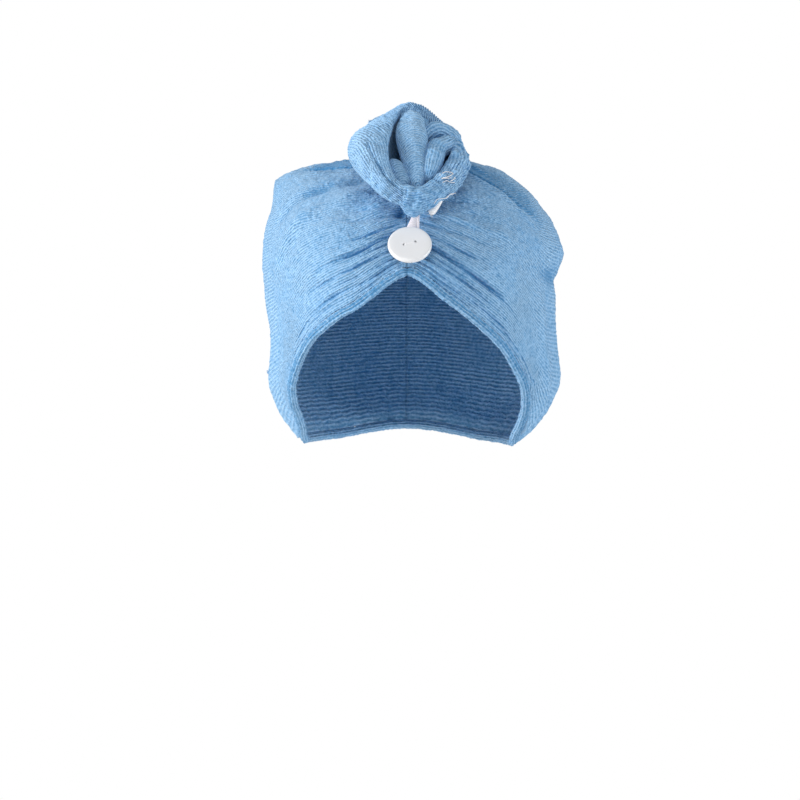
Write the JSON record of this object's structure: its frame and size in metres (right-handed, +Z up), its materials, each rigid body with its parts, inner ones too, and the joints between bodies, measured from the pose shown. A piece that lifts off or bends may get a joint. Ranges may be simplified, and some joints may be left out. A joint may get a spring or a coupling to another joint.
{
  "type": "hair turban towel",
  "caption": "Towelling hair turban in its worn form: a gathered hood whose tail comes over the crown to a rolled knot and hooks on a round button with an elastic loop",
  "frame": {"origin": "the point inside the crown that bears on the top of the head", "axes": "-Y is the front, where the button is; +X is on the right as seen from the front; +Z is up"},
  "size_m": [0.1784, 0.2216, 0.2011],
  "materials": {
    "towelling": "matt looped pile in fine ribs",
    "hem": "matt rolled and overlocked edge",
    "button": "satin white",
    "thread": "matt white",
    "elastic": "matt white, braided"
  },
  "bodies": {
    "root": {"hood_left": "towelling", "hood_right": "towelling", "face_hem": "hem", "tail": "towelling", "button": "button", "button_thread": "thread", "elastic_loop": "elastic", "loop_end": "elastic"}
  },
  "joints": []
}
